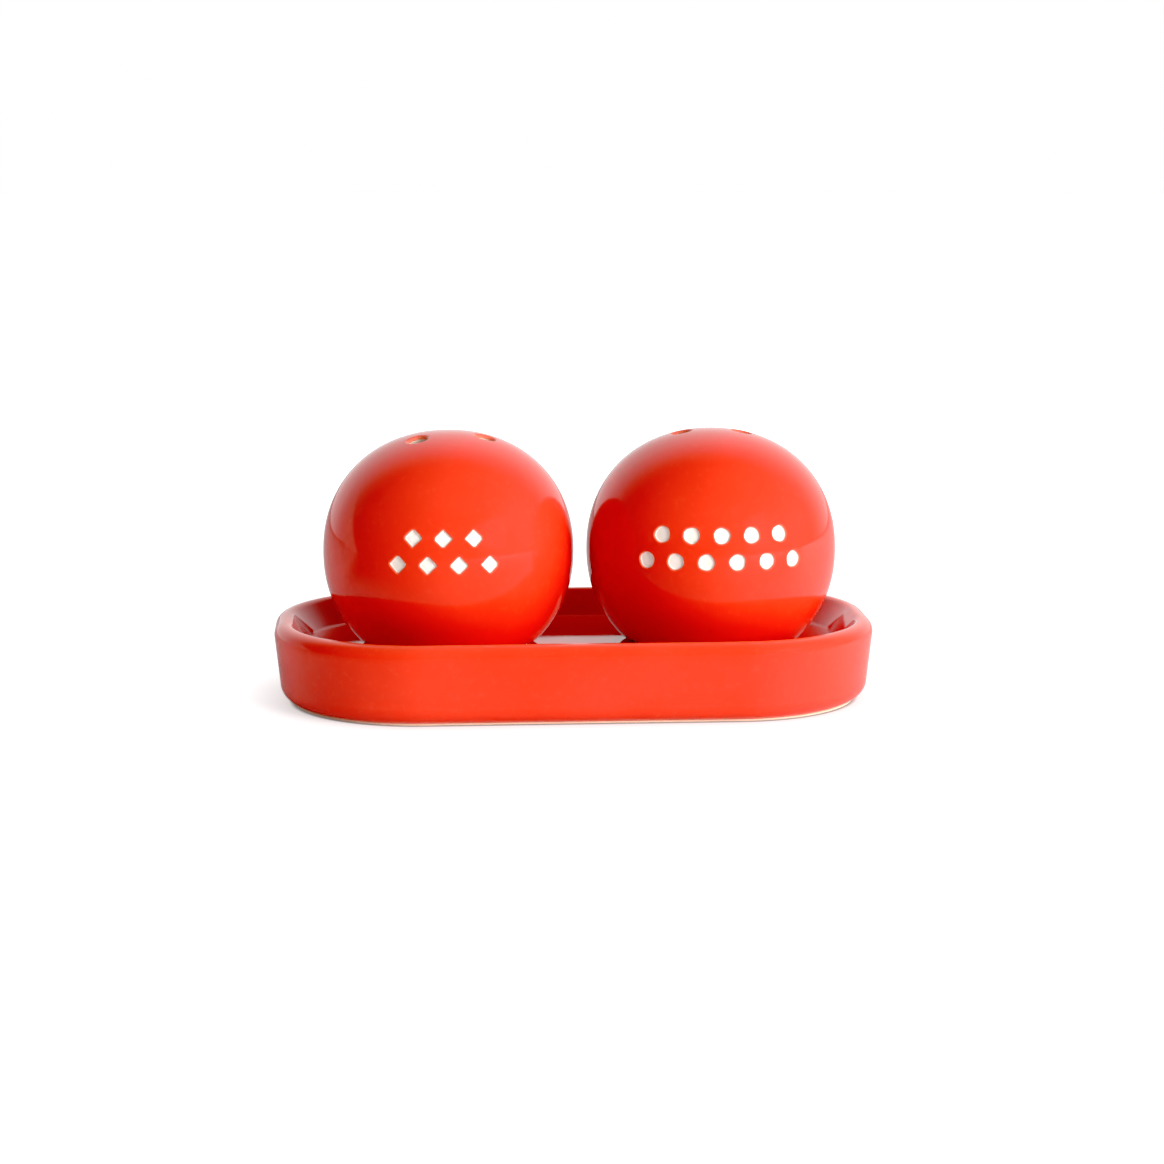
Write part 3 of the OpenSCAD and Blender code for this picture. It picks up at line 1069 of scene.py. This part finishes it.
def make_floor():
    """A large white disc that reads as plain white beyond the object's shadow, clear from below. Near the
    tray's foot the shadow is partly cast and partly painted, with a painted dark contact line.
    """
    work = bmesh.new()
    bmesh.ops.create_circle(work, cap_ends=True, segments=128, radius=FLOOR_RADIUS)
    mesh = bpy.data.meshes.new("floor")
    work.to_mesh(mesh)
    work.free()
    floor = bpy.data.objects.new("floor", mesh)
    floor.location.z = -FLOOR_GAP
    bpy.context.scene.collection.objects.link(floor)
    n = MaterialNodes("floor")
    path = n.tree.nodes.new("ShaderNodeLightPath")
    place = n.tree.nodes.new("ShaderNodeSeparateXYZ")
    n.link(n.coords, place, 0)
    from_middle = n.vector("LENGTH", n.coords)
    # Distance outwards from the corner centres of the tray's outline
    corner = (TRAY_CORE[0] * MM, TRAY_CORE[1] * MM, 0.0)
    beyond = n.vector("SUBTRACT", n.vector("ABSOLUTE", n.coords), corner)
    from_core = n.vector("LENGTH", n.vector("MAXIMUM", beyond, (0.0, 0.0, 0.0)))
    foot = TRAY_FOOT_X * MM
    # Painted shade by distance from the tray's foot: a thin dark contact line and a wider painted shadow
    painted_contact_line = n.between(from_core, foot, foot + CONTACT_W, CONTACT_SHADE, 1.0)
    painted_shadow = n.between(from_core, foot, foot + SHADOW_W, SHADOW_LIFT, 1.0)
    # Colour: plain white for light, less bright to the camera with a painted dark contact line at the
    # tray's foot, and painted lighter and darker in reflections
    # Painted light and shade of the floor as reflections see it, by place
    in_front = n.between(place.outputs["Y"], *DARK_SPAN_Y, 1.0, 0.0)
    to_left = n.between(place.outputs["X"], *DARK_SPAN_X, 1.0, 0.0)
    away = n.between(from_middle, *DARK_SPAN_R, 0.0, 1.0)
    beside = n.between(place.outputs["Y"], *BESIDE_SPAN, 0.0, 1.0)
    painted_in_reflection = n.mix(beside, (FLOOR_FRONT,) * 3, (FLOOR_BESIDE,) * 3)
    painted_in_reflection = n.mix(n.product(n.product(in_front, to_left), away), painted_in_reflection, (FLOOR_DARK,) * 3)
    # Painted dark contact line at the tray's foot, in what the camera sees of the floor
    seen = n.mix(painted_contact_line, (FLOOR_SEEN * CONTACT_SHADE,) * 3, (FLOOR_SEEN,) * 3)
    colour = n.mix(path.outputs["Is Glossy Ray"], (FLOOR_SHADE,) * 3, painted_in_reflection)
    n.link(n.mix(path.outputs["Is Camera Ray"], colour, seen), n.shader, "Base Color")
    n.shader.inputs["Roughness"].default_value = 0.9
    n.shader.inputs["Specular IOR Level"].default_value = 0.1
    n.shader.inputs["Emission Color"].default_value = (1.0, 1.0, 1.0, 1.0)
    far = n.between(from_middle, *FAR_SPAN, FLOOR_LIFT, FAR_FLOOR)
    # The lift, faded by the painted shadow and the painted contact line near the tray's foot
    lift = n.product(n.product(far, painted_shadow), painted_contact_line)
    n.link(n.product(lift, path.outputs["Is Camera Ray"]), n.shader, "Emission Strength")
    n.clear_from_below(path)
    mesh.materials.append(n.material)


def softbox(name, azimuth, elevation, distance, size, power):
    """A square light aimed at the object's middle, seen by neither the camera nor reflections."""
    data = bpy.data.lights.new(name, "AREA")
    data.shape = "SQUARE"
    data.size = size
    data.energy = power
    light = bpy.data.objects.new(name, data)
    bpy.context.scene.collection.objects.link(light)
    away = direction(azimuth, elevation)
    light.location = CAM_TARGET + away * distance
    light.rotation_euler = (-away).to_track_quat("-Z", "Y").to_euler()
    light.visible_camera = False
    light.visible_glossy = False


# Toe of the picture's contrast: what goes in, and what comes out
TONE = (
    (0.0, 0.0), (0.03, 0.001), (0.045, 0.004), (0.06, 0.02),
    (0.08, 0.055), (0.115, 0.098), (0.16, 0.155), (1.0, 1.0),
)


def set_tone():
    """Plain display colours with a short toe, as in a contrasty product picture."""
    view = bpy.context.scene.view_settings
    view.view_transform = "Standard"
    view.use_curve_mapping = True
    curve = view.curve_mapping.curves[3]
    for place, level in TONE[1:-1]:
        curve.points.new(place, level)
    for point in curve.points:
        point.handle_type = "VECTOR"
    view.curve_mapping.update()


make_world()
make_floor()
for row in SOFTBOXES:
    softbox(*row)
set_tone()
